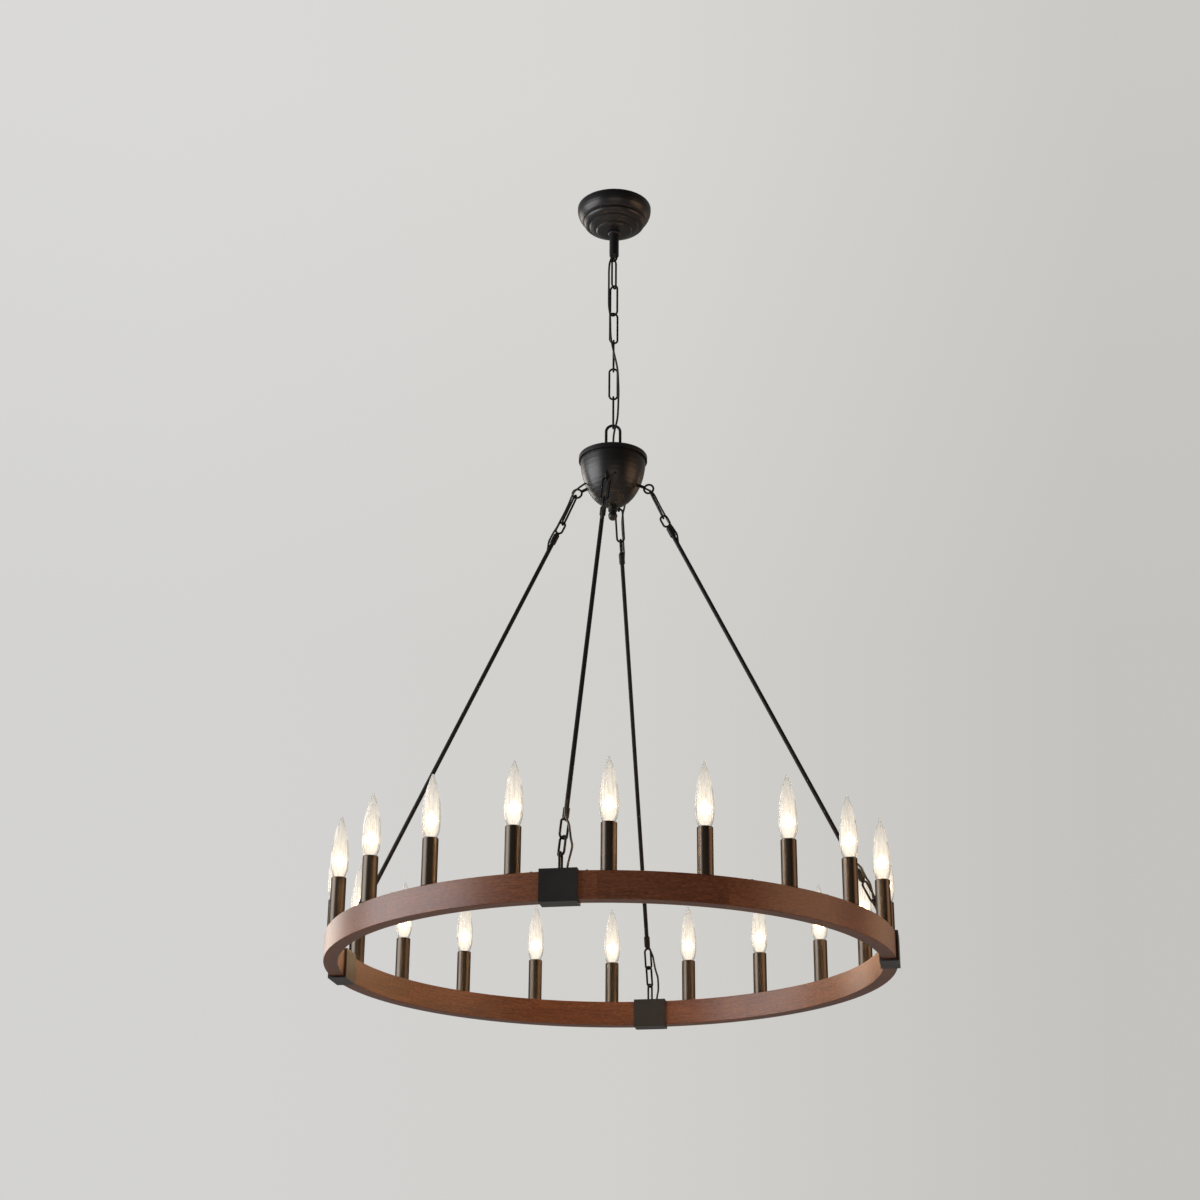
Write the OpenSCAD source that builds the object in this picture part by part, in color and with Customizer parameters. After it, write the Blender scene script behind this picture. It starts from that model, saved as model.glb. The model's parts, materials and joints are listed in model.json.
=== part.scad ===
// Wagon wheel chandelier: a wood rim with candle lights, held by four stays
// below a small bowl hub, which hangs on a chain from a ceiling canopy.
// Millimetres, +Z up, origin at the middle of the ceiling face.

/* [Wheel] */
// Ceiling to the underside of the wood rim
wheel_drop = 1563; // [1500:1:1620]
// Outer radius of the wood rim
wheel_r = 500; // [485:1:515]
// Height of the wood rim
wheel_h = 46; // [42:1:52]
// Thickness of the wood rim
wheel_t = 25; // [25:1:30]
// Sheet thickness of the rim clamps
clamp_plate = 3; // [2:0.5:4]
// Width of a rim clamp along the rim
clamp_w = 61; // [54:1:66]

/* [Candles] */
// Candles in each quarter of the rim
candles = 5; // [3:1:5]
// Radius of the circle that the candles stand on
candle_r = 488.5; // [485:0.5:490]
// Height of a candle sleeve
sleeve_h = 79; // [72:1:90]
// Outer diameter of a candle sleeve
sleeve_d = 26; // [25:0.5:28]
// Height of the bulb glass above the sleeve
bulb_h = 110; // [90:1:115]
// Widest diameter of the bulb glass
bulb_d = 31; // [30:1:34]

/* [Hub] */
// Ceiling to the top of the hub cap
hub_drop = 562; // [540:1:590]
// Radius of the hub bowl at its rim
bowl_r = 63; // [61:1:66]
// Depth of the hub bowl
bowl_h = 101; // [96:1:106]
// Height of the shackle's wire centre above the cap
shackle_rise = 69; // [60:1:80]

/* [Canopy and chain] */
// Radius of the canopy at the ceiling
canopy_r = 74; // [72:1:78]
// Ceiling to the wire centre of the canopy loop
loop_drop = 123; // [122:1:128]
// Wire diameter of the chain and the small links
wire_d = 4; // [3.5:0.1:4.2]
// Outer width of a chain link
link_w = 20; // [20:0.5:24]

/* [Stays] */
// Outer diameter of a stay tube
stay_d = 8; // [7.5:0.5:9]
// Length along the wire centres of the links under the hub
top_link_len = 64; // [56:1:72]
// Length along the wire centres of the links above the rim
low_link_len = 40; // [36:1:42]

/* [Hidden] */
$fn = 48;
black = [0.07, 0.07, 0.075];
bronze = [0.2, 0.14, 0.09];
steel = [0.62, 0.62, 0.6];
brass = [0.78, 0.62, 0.3];
walnut = [0.36, 0.18, 0.1];
strip_wood = [0.42, 0.23, 0.13];
glass = [0.95, 0.93, 0.88];
cord_black = [0.05, 0.05, 0.05];
resin = [0.85, 0.83, 0.78];
cap_grey = [0.75, 0.72, 0.66];

gap = 0.3;                      // clear space between wires that swing on each other
touch = 0.15;                   // clear space between wires that stay together
fit = 0.05;                     // radial clearance of a plug in its seat
sheet = 1.5;                    // sheet thickness of canopy, cap and bowl

rim_bottom = -wheel_drop;
rim_top = rim_bottom + wheel_h;
rim_inner = wheel_r - wheel_t;
groove_w = 7;                   // wire groove under the candles
groove_depth = 16;
strip_w = 18;                   // wood strip that closes the groove
strip_h = 4;
strip_end = 3.72;               // degrees from a clamp's middle to the end of a strip
seam = 0.02;                    // degrees between the butt ends of the rim

clamp_gap = 0.5;                // cavity height over the wood, each way
clamp_in = rim_inner - 2;       // inner side of the clamp cavity
clamp_out = wheel_r + 0.5;      // outer side of the clamp cavity
clamp_top = rim_top + clamp_gap + clamp_plate;
clamp_mid = (clamp_in + clamp_out) / 2;
clamp_screw_v = 18;             // clamp screws each side of the middle
screw_in_r = candle_r + 6.2;    // clear of the groove, under the strip's outer edge

sleeve_wall = 1.2;
sleeve_top = rim_top + sleeve_h;
quarter_step = 90 / candles;

cap_top = -hub_drop;
cap_r = bowl_r + 3;
cap_lip = 9;
bowl_z = cap_top - 4;           // level of the bowl's rim
bowl_end = bowl_z - bowl_h;
bowl_edge = cap_top - 2.1;       // top edge of the bowl, under the cap's plate
stem_r = 4;
shackle_wire = 5.5;
shackle_arc = 13.5;             // radius of the shackle's bend, at the wire centre
shackle_z = cap_top + shackle_rise;
shackle_turn = 10;

canopy_depth = 57;
collar_r = 9.5;
collar_end = -112;
loop_arc = 6;
loop_z = -loop_drop;
loop_turn = -20;
nipple_r = 4.9;

link_rise = wire_d + gap;       // one wire centre over the next
shackle_gap = (wire_d + shackle_wire) / 2 + gap;
link_count = 6;
link_len = (loop_z - shackle_z + link_count * link_rise + shackle_gap) / link_count;
link_turns = [70, -22, 30, 100, 10, 100];   // plane of each link about the vertical
function link_top(i) = loop_z + link_rise + i * (link_rise - link_len);

eye_arc = 9;                    // hub eye bolts
eye_r = 69.5;
eye_z = cap_top - 72;
eye_tilt = 24;                  // eye bolt shank, up from level
staple_arc = 7;
staple_r = wheel_r - wheel_t / 2 - 6.5;
staple_z = clamp_top + 24;
stay_r = eye_r - 2.4;           // the line of a stay passes a little inside its eye
staple_turns = [-6, 0, -22, 0]; // each staple about its own upright
stay_tilt = atan((staple_r - stay_r) / (eye_z - staple_z));
stay_len = norm([staple_r - stay_r, eye_z - staple_z]);
link_touch = wire_d + touch;
staple_slack = 0.5;             // the turned staples reach a little less far up
end_arc = 6.5;                  // eyes of the stay ends
top_eye_len = 24;
low_eye_len = 40;
ferrule_len = 24;
ferrule_r = 5.7;
ferrule_seat = 13;              // how far the tube goes into its ferrule
eye_off = [(eye_r - stay_r) * cos(stay_tilt), (eye_r - stay_r) * sin(stay_tilt)];
top_link_s = eye_off.y + eye_arc - link_touch;
top_link_lean = asin(eye_off.x / top_link_len);
top_eye_s = top_link_s + top_link_len - link_touch;
low_link_s = stay_len - staple_arc + link_touch + staple_slack - low_link_len;
low_eye_s = low_link_s + link_touch - low_eye_len;
tube_s = top_eye_s + top_eye_len + ferrule_len - ferrule_seat;
tube_end_s = low_eye_s - ferrule_len + ferrule_seat;
tube_bore_r = 2.6;
lead_hole_r = 2.2;

// Route of the feed cord, down through the collar and woven along the chain
feed_r = 2;
feed_route = [
    [0, 0, -20], [0, 0, -72], [-1, -1, -80], [-3, -2, -89], [-4.5, -3, -98], [-4.5, -3, -113],
    [-6, -3.5, -121], [-8.5, -4.5, -132], [-9.5, -4.5, -150], [-9.5, -4, -170], [-9.5, -4.5, -190],
    [-9.5, -4.5, -210], [-9, -5, -230], [-6, -9.5, -250], [-5, -10.5, -270], [-4.5, -11, -290],
    [-3, -12, -308], [0, -13.5, -325], [4, -13, -345], [7.5, -10, -362], [9.5, -6, -378],
    [10.5, -4.5, -400], [11, -4, -420], [10.5, -3, -440], [10, -3, -460], [9.5, -6, -478],
    [8, -10, -493], [5.5, -13.5, -508], [3.5, -15.5, -524], [3, -16, -545], [3, -16, -575],
    [2, -14, -590]
];
bush_at = [3, -16];

// A point beside a stay: distance down the stay, to its side, and up off it
function by_stay(s, v, u) = [
    stay_r + s * sin(stay_tilt) + u * cos(stay_tilt), v, eye_z - s * cos(stay_tilt) + u * sin(stay_tilt)
];

// Route of a stay's lead, from the hub over the link, through the tube and into the rim
lead_r = 1.6;
lead_in = 134;                  // where the lead is inside the tube, from the eye
lead_out = 828;
lead_clamp_v = 12;              // where it enters the clamp, to the side
lead_route = [
    [34, 10, -604], [44, 13, -614], [54, 13, -621], [64, 13, -628],
    by_stay(3, 11, 5), by_stay(15, 7, 6.5), by_stay(30, 4.5, 6), by_stay(46, 4, 5.5),
    by_stay(64, 4.2, 5.5), by_stay(80, 4.2, 5.5), by_stay(93, 4, 6.8), by_stay(105, 2.5, 7.6),
    by_stay(lead_in - 20, 1, 7.4), by_stay(lead_in, 0, 0.8), by_stay(lead_in + 6, 0, 0),
    by_stay(lead_out - 6, 0, 0), by_stay(lead_out, 0, 0.8), by_stay(lead_out + 16, 0, 7.4),
    by_stay(858, 0.4, 7.7), by_stay(868, 1.6, 7.9), by_stay(878, 4.4, 8.8), by_stay(889, 8.6, 6.6),
    by_stay(901, 10.8, 2.8), by_stay(912, 12.6, 0.6), by_stay(922, 15, 0), by_stay(932, 16.6, 1),
    [486, 15.6, -1491], [488.5, 13.4, -1502],
    [488.5, lead_clamp_v, -1513], [488.5, lead_clamp_v, -1525]
];

// ---- shared shapes ----

// A quarter of the wheel: its local +X points outwards, 0 at the front (-Y)
module quarter(i) {
    rotate([0, 0, 90 * i - 90]) children();
}

module each_quarter() {
    for (i = [0:3]) quarter(i) children();
}

// The same for the leads: the back one is on the other side of its stay
module each_lead() {
    for (i = [0:3]) quarter(i) mirror([0, i == 2 ? 1 : 0, 0]) children();
}

// Candle k of the whole wheel, its local +X pointing outwards
module at_candle(k) {
    rotate([0, 0, -90 + (k + 0.5) * quarter_step]) translate([candle_r, 0, 0]) children();
}

module each_candle() {
    for (k = [0:4 * candles - 1]) at_candle(k) children();
}

// Along a stay: local +Z runs down the stay, local +Y is the side
module along_stay() {
    translate([stay_r, 0, eye_z]) rotate([0, 180 - stay_tilt, 0]) children();
}

// Half ring of wire below z = 0
module wire_arc(arc, d) {
    rotate([-90, 0, 0]) rotate_extrude(angle = 180) translate([arc, 0]) circle(d = d);
}

// Long oval link of wire in the XZ plane, its end wire centres at z = 0 and z = len
module oval_link(len, arc, d) {
    translate([0, 0, arc]) wire_arc(arc, d);
    translate([0, 0, len - arc]) mirror([0, 0, 1]) wire_arc(arc, d);
    for (x = [-arc, arc]) translate([x, 0, arc]) cylinder(h = len - 2 * arc, d = d);
}

// U of wire in the XZ plane, bend at the top, its legs down to z = -leg
module wire_bail(arc, d, leg) {
    mirror([0, 0, 1]) wire_arc(arc, d);
    for (x = [-arc, arc]) translate([x, 0, -leg]) cylinder(h = leg, d = d);
}

// Long hole in a plate: its middle, its length and half its width
module slot(x, length, r) {
    translate([x - length / 2 + r, -r]) square([length - 2 * r, 2 * r]);
    for (s = [-1, 1]) translate([x + s * (length / 2 - r), 0]) circle(r = r);
}

module hex_nut(flats, h, bore) {
    difference() {
        cylinder(h = h, d = flats / cos(30), $fn = 6);
        translate([0, 0, -1]) cylinder(h = h + 2, r = bore);
    }
}

// Twist-on cap over a splice, mouth at z = 0, nose up
module wire_cap(h) {
    rotate_extrude() polygon([[0, 2], [3.4, 2], [3.4, 0], [5, 0], [5, 4], [3.6, h - 1.5], [2.6, h], [0, h]]);
}

// Pan head screw, its head on z = 0
module pan_screw(head_r, shank_r, length) {
    rotate_extrude() polygon([
        [0, -length], [shank_r, -length + 1], [shank_r, 0], [head_r, 0], [head_r, 0.7],
        [head_r * 0.8, 1.5], [head_r * 0.45, 1.9], [0, 2]
    ]);
}

// Tube swept along a route, one ring of sides at each point
function ring_dir(route, i) =
    let (d = route[min(i + 1, len(route) - 1)] - route[max(i - 1, 0)]) d / norm(d);
function ring_at(route, i, r, sides) =
    let (t = ring_dir(route, i), a = cross(t, [0.3, 1, 0]), u = a / norm(a), v = cross(t, u))
    [for (k = [0:sides - 1]) route[i] + r * (cos(360 * k / sides) * u + sin(360 * k / sides) * v)];
module swept_tube(route, r, sides) {
    n = len(route);
    points = [for (i = [0:n - 1]) each ring_at(route, i, r, sides)];
    walls = [
        for (i = [0:n - 2], k = [0:sides - 1])
            let (a = i * sides + k, b = i * sides + (k + 1) % sides) [a, a + sides, b + sides, b]
    ];
    ends = [[for (k = [0:sides - 1]) k], [for (k = [sides - 1:-1:0]) (n - 1) * sides + k]];
    polyhedron(points = points, faces = concat(walls, ends), convexity = 6);
}

// ---- ceiling mount ----

module crossbar() {
    color(steel) difference() {
        translate([0, 0, -2]) linear_extrude(2) difference() {
            slot(0, 122, 9);
            for (x = [-42, 42]) slot(x, 24, 2.3);
            translate([18, 5]) circle(r = 2.05);
        }
        translate([0, 0, -3]) cylinder(h = 4, r = nipple_r + fit);
    }
}

module ground_screw() {
    color([0.2, 0.55, 0.25]) translate([18, 5, -2]) mirror([0, 0, 1]) difference() {
        union() {
            cylinder(h = 2.4, r = 4);
            translate([0, 0, -2]) cylinder(h = 2, r = 2);
        }
        translate([-3, -0.5, 1.4]) cube([6, 1, 2]);
    }
}

module threaded_nipple() {
    color(steel) translate([0, 0, -76]) difference() {
        cylinder(h = 76, r = nipple_r);
        translate([0, 0, -1]) cylinder(h = 78, r = 3.3);
    }
}

module nipple_nuts() {
    color(steel) for (z = [-7.2, -canopy_depth + sheet + 0.2])
        translate([0, 0, z]) hex_nut(16, 5, nipple_r + fit);
}

// Outline of the pressed canopy, ceiling edge first: a deep outer roll and three tiers below it
canopy_line = [
    [canopy_r - 0.6, 0], [canopy_r - 0.1, -1.2], [canopy_r, -5], [canopy_r - 0.2, -9],
    [canopy_r - 1.2, -14], [canopy_r - 3, -19], [canopy_r - 5.8, -24], [canopy_r - 8.8, -28],
    [canopy_r - 10.8, -29.8], [canopy_r - 12.2, -30.4], [canopy_r - 12, -32],
    [canopy_r - 12.5, -34.6], [canopy_r - 14.2, -37.4], [canopy_r - 17, -40],
    [canopy_r - 20.2, -41.8], [canopy_r - 23.9, -42.5], [canopy_r - 24.1, -43.8],
    [canopy_r - 26.2, -45.6], [canopy_r - 29.4, -47.5], [canopy_r - 33.2, -49.4],
    [canopy_r - 37.6, -50.8], [canopy_r - 37.9, -52.4], [canopy_r - 39.6, -54.2],
    [canopy_r - 43, -55.6], [canopy_r - 49, -56.6], [12, -canopy_depth]
];

// Its inside, from the middle back up to the ceiling edge
canopy_inside = [
    [12, -canopy_depth + sheet], [canopy_r - 49.4, -55.2], [canopy_r - 44, -54.2],
    [canopy_r - 41, -52.9], [canopy_r - 39.4, -51], [canopy_r - 39, -49.6],
    [canopy_r - 33.9, -47.9], [canopy_r - 30.2, -46.1], [canopy_r - 27.2, -44.4],
    [canopy_r - 25.6, -42.8], [canopy_r - 24.6, -41.2], [canopy_r - 20.6, -40.3],
    [canopy_r - 17.9, -38.8], [canopy_r - 15.5, -36.6], [canopy_r - 14, -34.2],
    [canopy_r - 13.6, -31], [canopy_r - 13.2, -29.2], [canopy_r - 11.6, -28.6],
    [canopy_r - 9.9, -26.9], [canopy_r - 7.1, -23.1], [canopy_r - 4.5, -18.4],
    [canopy_r - 2.7, -13.7], [canopy_r - 1.7, -8.8], [canopy_r - 1.5, -5], [canopy_r - 1.7, 0]
];

module canopy() {
    color(black) rotate_extrude() polygon(concat(
        canopy_line, [[nipple_r + 0.2, -canopy_depth], [nipple_r + 0.2, -canopy_depth + sheet]],
        canopy_inside
    ));
}

module collar() {
    color(black) difference() {
        translate([0, 0, collar_end]) rotate_extrude() polygon([
            [0, 0], [collar_r - 1, 0], [collar_r, 1], [collar_r, 50], [collar_r + 1.5, 50.8],
            [collar_r + 2.5, 52], [collar_r + 2.5, 54], [collar_r + 1.8, 54.9], [0, 54.9]
        ]);
        translate([0, 0, -76.2]) cylinder(h = 30, r = nipple_r + fit);
        translate([0, 0, collar_end + 6]) cylinder(h = 30.5, r = 8);
        translate([-4.5, -3, collar_end - 1]) cylinder(h = 10, r = 2.3);
        rotate([0, 0, loop_turn]) for (x = [-loop_arc, loop_arc])
            translate([x, 0, collar_end - 1]) cylinder(h = 10, r = wire_d / 2 + fit);
    }
}

module collar_loop() {
    color(black) rotate([0, 0, loop_turn]) translate([0, 0, loop_z + loop_arc]) {
        wire_arc(loop_arc, wire_d);
        for (x = [-loop_arc, loop_arc])
            translate([x, 0, 0]) cylinder(h = collar_end + 5.5 - loop_z - loop_arc, d = wire_d);
    }
}

module canopy_wire_caps() {
    color(cap_grey) for (a = [50, 90, 130]) rotate([0, 0, a]) translate([30, 0, -30]) wire_cap(17);
}

// ---- chain ----

module chain_link(i) {
    color(black) rotate([0, 0, link_turns[i]]) translate([0, 0, link_top(i) - link_len])
        oval_link(link_len, (link_w - wire_d) / 2, wire_d);
}

module chain_link_top() {
    chain_link(0);
}

module chain_links() {
    for (i = [1:link_count - 2]) chain_link(i);
}

module chain_link_low() {
    chain_link(link_count - 1);
}

module feed_cord() {
    color(cord_black) swept_tube(feed_route, feed_r, 8);
}

// ---- hub ----

module hub_shackle() {
    leg = shackle_rise - shackle_arc + 16;
    color(black) rotate([0, 0, shackle_turn]) translate([0, 0, shackle_z - shackle_arc])
        wire_bail(shackle_arc, shackle_wire, leg);
}

module hub_cap() {
    color(black) difference() {
        translate([0, 0, cap_top]) rotate_extrude() polygon([
            [0, 0], [cap_r - 5, 0], [cap_r - 4, 1.2], [cap_r - 2.4, 1.8], [cap_r - 0.8, 1.3],
            [cap_r, 0], [cap_r, -cap_lip], [cap_r - 1, -cap_lip], [cap_r - 1, -2], [0, -2]
        ]);
        translate([0, 0, cap_top - 3]) cylinder(h = 4, r = stem_r + 0.2);
        translate([bush_at.x, bush_at.y, cap_top - 3]) cylinder(h = 4, r = 3.6);
        rotate([0, 0, shackle_turn]) for (x = [-shackle_arc, shackle_arc])
            translate([x, 0, cap_top - 3]) cylinder(h = 4, r = shackle_wire / 2 + 0.1);
    }
}

module cord_bush() {
    color(black) translate([bush_at.x, bush_at.y, cap_top]) rotate_extrude() polygon([
        [feed_r + 0.25, -4], [5, -4], [5, -2.1], [3.5, -2], [3.5, 0.1], [5, 0.2], [4.6, 1.8],
        [feed_r + 0.25, 2.4]
    ]);
}

bowl_steps = 15;
function bowl_line(a, b) = [
    for (i = [0:bowl_steps])
        let (t = 86 * i / bowl_steps) [a * cos(t), bowl_z - b * sin(t)]
];

// Elliptic bowl with a flat foot where the finial seats
module bowl_solid(a, b) {
    line = bowl_line(a, b);
    foot = line[bowl_steps].y;
    rotate_extrude() polygon(concat([[0, bowl_edge], [a, bowl_edge]], line, [[0, foot]]));
}

// Along an eye bolt: local +Z runs from the middle of the eye to the hub
module along_eye() {
    translate([eye_r, 0, eye_z]) rotate([0, -90 + eye_tilt, 0]) children();
}

// Hole of radius r along one step of a route, a little longer than the step
module route_hole(p, q, r) {
    way = q - p;
    translate(p) rotate([0, 0, atan2(way.y, way.x)]) rotate([0, acos(way.z / norm(way)), 0])
        translate([0, 0, -2]) cylinder(h = norm(way) + 4, r = r);
}

module hub_bowl() {
    color(black) difference() {
        bowl_solid(bowl_r, bowl_h);
        difference() {
            bowl_solid(bowl_r - sheet, bowl_h - sheet);
            translate([0, 0, bowl_edge]) cylinder(h = 1, r = bowl_r);
        }
        translate([0, 0, bowl_end - 5]) cylinder(h = 20, r = stem_r + 0.2);
        each_quarter() along_eye() translate([0, 0, 11]) cylinder(h = 18, r = 3.1);
        each_lead() route_hole(lead_route[1], lead_route[2], lead_hole_r);
    }
}

module hub_stem() {
    color(steel) translate([0, 0, bowl_end - 10]) cylinder(h = cap_top + 9 - bowl_end + 10, r = stem_r);
}

module finial() {
    ball = 9;
    ball_z = bowl_end - 19;
    foot = bowl_z - bowl_h * sin(86);
    color(black) difference() {
        translate([0, 0, ball_z]) rotate_extrude() polygon(concat(
            [[0, -ball]],
            [for (a = [-80:10:40]) ball * [cos(a), sin(a)]],
            [[6.2, 7.4], [6.2, 9], [8.4, 9.6], [8.8, 10.2], [8.8, foot - ball_z], [0, foot - ball_z]]
        ));
        translate([0, 0, bowl_end - 10.5]) cylinder(h = 20, r = stem_r + fit);
    }
}

module hub_nuts() {
    color(steel) {
        translate([0, 0, cap_top + 0.02]) hex_nut(13, 6, stem_r + fit);
        translate([0, 0, cap_top - 8.1]) hex_nut(13, 6, stem_r + fit);
        translate([0, 0, bowl_end + sheet + 1]) hex_nut(13, 6, stem_r + fit);
        rotate([0, 0, shackle_turn]) for (x = [-shackle_arc, shackle_arc], z = [0.02, -7.1])
            translate([x, 0, cap_top + z]) hex_nut(10, 5, shackle_wire / 2 + fit);
        each_quarter() along_eye() translate([0, 0, 23.6]) hex_nut(10, 4.5, 3 + fit);
    }
}

module hub_eyes() {
    color(black) each_quarter() {
        translate([eye_r, 0, eye_z]) rotate([90, 0, 0])
            rotate_extrude() translate([eye_arc, 0]) circle(d = wire_d);
        along_eye() translate([0, 0, eye_arc]) cylinder(h = 23, r = 3);
    }
}

module hub_wire_caps() {
    color(cap_grey) for (a = [15, 75, 135, 195, 250, 310]) rotate([0, 0, a])
        translate([25, 0, cap_top - 42]) wire_cap(18);
}

// ---- stays ----

module stay_links() {
    color(black) each_quarter() along_stay() {
        translate([-eye_off.x, 0, top_link_s]) rotate([0, top_link_lean, 0]) rotate([0, 0, 90])
            oval_link(top_link_len, 7, wire_d);
        translate([0, 0, low_link_s]) rotate([0, 0, 120]) oval_link(low_link_len, 6, wire_d);
    }
}

module stay_tubes() {
    color(black) difference() {
        each_quarter() along_stay() translate([0, 0, tube_s]) difference() {
            cylinder(h = tube_end_s - tube_s, d = stay_d);
            translate([0, 0, -1]) cylinder(h = tube_end_s - tube_s + 2, r = tube_bore_r);
        }
        each_lead() {
            route_hole(lead_route[12], lead_route[13], lead_hole_r);
            route_hole(lead_route[16], lead_route[17], lead_hole_r);
        }
    }
}

// Ferrule on z = 0 with its mouth at z = ferrule_len
module ferrule() {
    rotate_extrude() polygon([
        [0, 0], [3, 0], [ferrule_r, 5], [ferrule_r, ferrule_len - 1], [ferrule_r - 0.8, ferrule_len],
        [stay_d / 2 + fit, ferrule_len], [stay_d / 2 + fit, ferrule_len - ferrule_seat - 0.1],
        [0, ferrule_len - ferrule_seat - 0.1]
    ]);
}

module stay_ends() {
    color(black) each_quarter() along_stay() {
        translate([0, 0, top_eye_s]) {
            oval_link(top_eye_len, end_arc, wire_d);
            translate([0, 0, top_eye_len]) ferrule();
        }
        translate([0, 0, low_eye_s]) {
            rotate([0, 0, 52]) oval_link(low_eye_len, end_arc, wire_d);
            mirror([0, 0, 1]) ferrule();
        }
    }
}

module clamp_staples() {
    color(black) for (i = [0:3])
        quarter(i) translate([staple_r, 0, staple_z]) rotate([0, 0, staple_turns[i]])
        wire_bail(staple_arc, wire_d, staple_z - clamp_top + clamp_plate);
}

module stay_leads() {
    color(cord_black) each_lead() swept_tube(lead_route, lead_r, 8);
}

// ---- rim ----

// Spots of the clamp screws and of the strip screws, the screw heads' undersides at z = 0
module rim_screw_spots() {
    each_quarter() for (v = [-clamp_screw_v, clamp_screw_v])
        translate([screw_in_r, v, clamp_top]) children();
}

module strip_screw_spots() {
    for (a = [5.1, 36, 54, 84.9]) each_quarter()
        rotate([0, 0, a]) translate([screw_in_r, 0, rim_top]) children();
}

module rim_section() {
    polygon([
        [rim_inner + 1, rim_bottom], [wheel_r - 1, rim_bottom], [wheel_r - 0.3, rim_bottom + 0.3],
        [wheel_r, rim_bottom + 1], [wheel_r, rim_top - 1], [wheel_r - 0.3, rim_top - 0.3],
        [wheel_r - 1, rim_top], [rim_inner + 1, rim_top], [rim_inner + 0.3, rim_top - 0.3],
        [rim_inner, rim_top - 1], [rim_inner, rim_bottom + 1], [rim_inner + 0.3, rim_bottom + 0.3]
    ]);
}

module rim_segment(i) {
    color(walnut) difference() {
        quarter(i) rotate([0, 0, seam]) rotate_extrude(angle = 90 - 2 * seam) rim_section();
        rotate_extrude() translate([candle_r - groove_w / 2, rim_top - groove_depth])
            square([groove_w, groove_depth + 1]);
        quarter(i) rotate([0, 0, strip_end - 0.05]) rotate_extrude(angle = 90.1 - 2 * strip_end)
            translate([candle_r - strip_w / 2 - 0.1, rim_top - strip_h])
            square([strip_w + 0.2, strip_h + 1]);
        rim_screw_spots() translate([0, 0, -16]) cylinder(h = 20, r = 1.5);
        strip_screw_spots() translate([0, 0, -14]) cylinder(h = 20, r = 1.2);
    }
}

module rim_segment_a() {
    rim_segment(0);
}

module rim_segment_b() {
    rim_segment(1);
}

module rim_segment_c() {
    rim_segment(2);
}

module rim_segment_d() {
    rim_segment(3);
}

module rim_clamps() {
    h = wheel_h + 2 * clamp_gap;
    w = clamp_out - clamp_in;
    color(black) difference() {
        each_quarter() difference() {
            translate([clamp_in - clamp_plate, -clamp_w / 2, rim_bottom - clamp_gap - clamp_plate])
                cube([w + 2 * clamp_plate, clamp_w, h + 2 * clamp_plate]);
            translate([clamp_in, -clamp_w, rim_bottom - clamp_gap]) cube([w, 2 * clamp_w, h]);
        }
        for (i = [0:3], x = [-staple_arc, staple_arc])
            quarter(i) translate([staple_r, 0, rim_top]) rotate([0, 0, staple_turns[i]])
            translate([x, 0, 0]) cylinder(h = 10, r = wire_d / 2 + fit);
        each_lead() translate([candle_r, lead_clamp_v, rim_top]) cylinder(h = 10, r = lead_r + 0.5);
        rim_screw_spots() translate([0, 0, -10]) cylinder(h = 20, r = 1.7);
    }
}

module groove_strips() {
    color(strip_wood) difference() {
        for (i = [0:3]) quarter(i) rotate([0, 0, strip_end])
            rotate_extrude(angle = 90 - 2 * strip_end)
            translate([candle_r - strip_w / 2, rim_top - strip_h]) square([strip_w, strip_h]);
        each_candle() translate([0, 0, rim_top - 10]) cylinder(h = 20, r = 3);
        strip_screw_spots() translate([0, 0, -10]) cylinder(h = 20, r = 1.4);
    }
}

module rim_wiring() {
    color(cord_black) {
        rotate_extrude() translate([candle_r, rim_top - groove_depth + 2.7]) circle(r = 2.5);
        each_candle() translate([0, 0, rim_top - groove_depth + 5.3]) cylinder(h = 40, r = 1.5);
    }
}

module rim_screws() {
    color(black) {
        rim_screw_spots() translate([0, 0, 0.02]) pan_screw(3, 1.45, 15);
        strip_screw_spots() translate([0, 0, 0.02]) pan_screw(2.5, 1.15, 12);
    }
}

// ---- candles ----

socket_bottom = rim_top + 26;
socket_floor = rim_top + 45;    // bottom of the socket's well
socket_r = 10.5;
thread_r = 6.9;                 // screw base of the bulb
socket_mouth = sleeve_top - 3;

module socket_feet() {
    color(steel) each_candle() translate([0, 0, rim_top]) difference() {
        union() {
            cylinder(h = 2, r = 11);
            cylinder(h = 32, r = nipple_r);
        }
        translate([0, 0, -1]) cylinder(h = 40, r = 3.2);
    }
}

module lamp_sockets() {
    color(resin) each_candle() difference() {
        translate([0, 0, socket_bottom]) rotate_extrude() polygon([
            [0, 0], [socket_r - 2, 0], [socket_r, 3], [socket_r, socket_mouth - socket_bottom - 1],
            [socket_r - 1, socket_mouth - socket_bottom], [0, socket_mouth - socket_bottom]
        ]);
        translate([0, 0, socket_bottom - 1]) cylinder(h = 12, r = nipple_r + fit);
        translate([0, 0, socket_floor]) cylinder(h = 60, r = thread_r + 1);
    }
}

module socket_shells() {
    color(brass) each_candle() translate([0, 0, socket_floor + 0.1]) difference() {
        cylinder(h = socket_mouth - socket_floor - 4, r = thread_r + 0.9);
        translate([0, 0, 0.8]) cylinder(h = 60, r = thread_r + 0.3);
        translate([0, 0, -1]) cylinder(h = 4, r = 4);
    }
}

module socket_contacts() {
    color(brass) each_candle() translate([0, 0, socket_floor + 0.1])
        rotate_extrude() polygon([[0, 0], [3, 0], [3, 1.2], [1.8, 3.2], [0, 3.7]]);
}

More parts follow.
